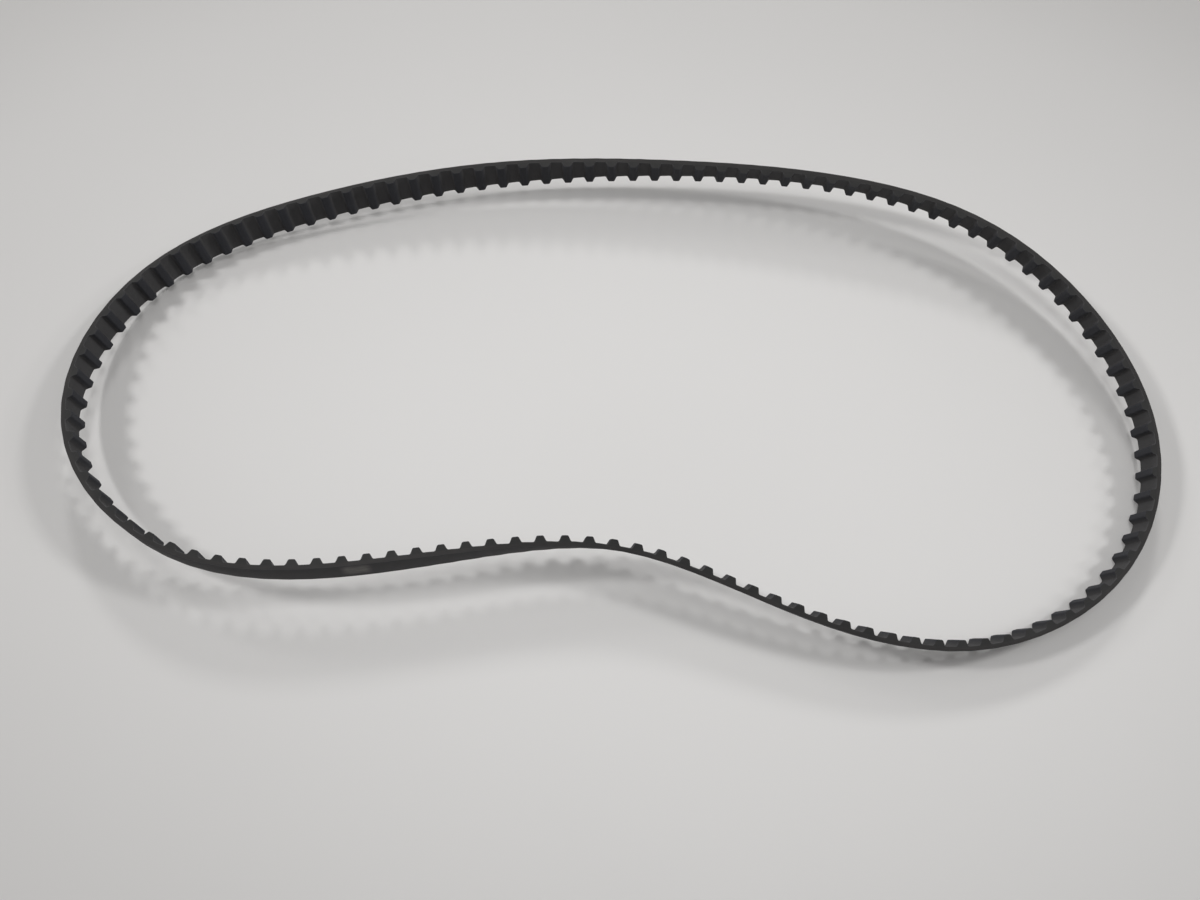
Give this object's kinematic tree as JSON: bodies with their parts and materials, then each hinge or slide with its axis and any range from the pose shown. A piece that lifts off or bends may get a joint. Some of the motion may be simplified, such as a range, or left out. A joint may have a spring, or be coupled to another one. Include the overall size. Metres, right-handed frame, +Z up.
{
  "type": "timing belt",
  "caption": "Endless rubber timing belt with trapezoidal teeth inside, cord reinforced, standing free on its edge in a kidney shape.",
  "frame": {"origin": "middle of the belt's box, on the table that it stands on", "axes": "+X along the long way of the loop, to the right; +Y to the far span; +Z up, across the belt's width"},
  "size_m": [0.2384, 0.1098, 0.0136],
  "materials": {
    "backing_rubber": "matt ground black rubber",
    "tooth_rubber": "matt black moulded rubber",
    "tooth_facing": "fine black nylon weave pressed into the rubber",
    "tension_cord": "twisted glass fibre cord with a dry coating"
  },
  "bodies": {
    "near_span": {"near_span_backing": "backing_rubber", "near_span_tooth_rubber": "tooth_rubber", "near_span_tooth_facing": "tooth_facing", "near_span_s_cord_turn_1": "tension_cord", "near_span_z_cord_turn_1": "tension_cord", "near_span_s_cord_turn_2": "tension_cord", "near_span_z_cord_turn_2": "tension_cord", "near_span_s_cord_turn_3": "tension_cord", "near_span_z_cord_turn_3": "tension_cord"},
    "left_bend": {"left_bend_backing": "backing_rubber", "left_bend_tooth_rubber": "tooth_rubber", "left_bend_tooth_facing": "tooth_facing", "left_bend_s_cord_turn_1": "tension_cord", "left_bend_z_cord_turn_1": "tension_cord", "left_bend_s_cord_turn_2": "tension_cord", "left_bend_z_cord_turn_2": "tension_cord", "left_bend_s_cord_turn_3": "tension_cord", "left_bend_z_cord_turn_3": "tension_cord"},
    "right_bend": {"right_bend_backing": "backing_rubber", "right_bend_tooth_rubber": "tooth_rubber", "right_bend_tooth_facing": "tooth_facing", "right_bend_s_cord_turn_1": "tension_cord", "right_bend_z_cord_turn_1": "tension_cord", "right_bend_s_cord_turn_2": "tension_cord", "right_bend_z_cord_turn_2": "tension_cord", "right_bend_s_cord_turn_3": "tension_cord", "right_bend_z_cord_turn_3": "tension_cord"},
    "far_left": {"far_left_backing": "backing_rubber", "far_left_tooth_rubber": "tooth_rubber", "far_left_tooth_facing": "tooth_facing", "far_left_s_cord_turn_1": "tension_cord", "far_left_z_cord_turn_1": "tension_cord", "far_left_s_cord_turn_2": "tension_cord", "far_left_z_cord_turn_2": "tension_cord", "far_left_s_cord_turn_3": "tension_cord", "far_left_z_cord_turn_3": "tension_cord"},
    "far_right": {"far_right_backing": "backing_rubber", "far_right_tooth_rubber": "tooth_rubber", "far_right_tooth_facing": "tooth_facing", "far_right_s_cord_turn_1": "tension_cord", "far_right_z_cord_turn_1": "tension_cord", "far_right_s_cord_turn_2": "tension_cord", "far_right_z_cord_turn_2": "tension_cord", "far_right_s_cord_turn_3": "tension_cord", "far_right_z_cord_turn_3": "tension_cord"}
  },
  "joints": [
    {"name": "left_bend_sway", "type": "hinge", "parent": "near_span", "child": "left_bend", "pos_m": [-0.06509, -0.05305, 0.01038], "axis": [0, 0, 1], "range_deg": [-20, 20], "stiffness_Nm_per_rad": 0.004},
    {"name": "right_bend_sway", "type": "hinge", "parent": "near_span", "child": "right_bend", "pos_m": [0.06914, -0.0498, 0.00531], "axis": [0, 0, 1], "range_deg": [-20, 20], "stiffness_Nm_per_rad": 0.004},
    {"name": "far_left_flex", "type": "hinge", "parent": "left_bend", "child": "far_left", "pos_m": [-0.05163, 0.04085, 0.00608], "axis": [0, 0, 1], "range_deg": [-20, 20], "stiffness_Nm_per_rad": 0.004},
    {"name": "far_right_flex", "type": "hinge", "parent": "right_bend", "child": "far_right", "pos_m": [0.0826, 0.0441, 0.00876], "axis": [0, 0, 1], "range_deg": [-20, 20], "stiffness_Nm_per_rad": 0.004}
  ],
  "couplings": [
    {"joint": "right_bend_sway", "follows": "left_bend_sway", "ratio": 1},
    {"joint": "far_left_flex", "follows": "left_bend_sway", "ratio": -1},
    {"joint": "far_right_flex", "follows": "left_bend_sway", "ratio": -1}
  ]
}
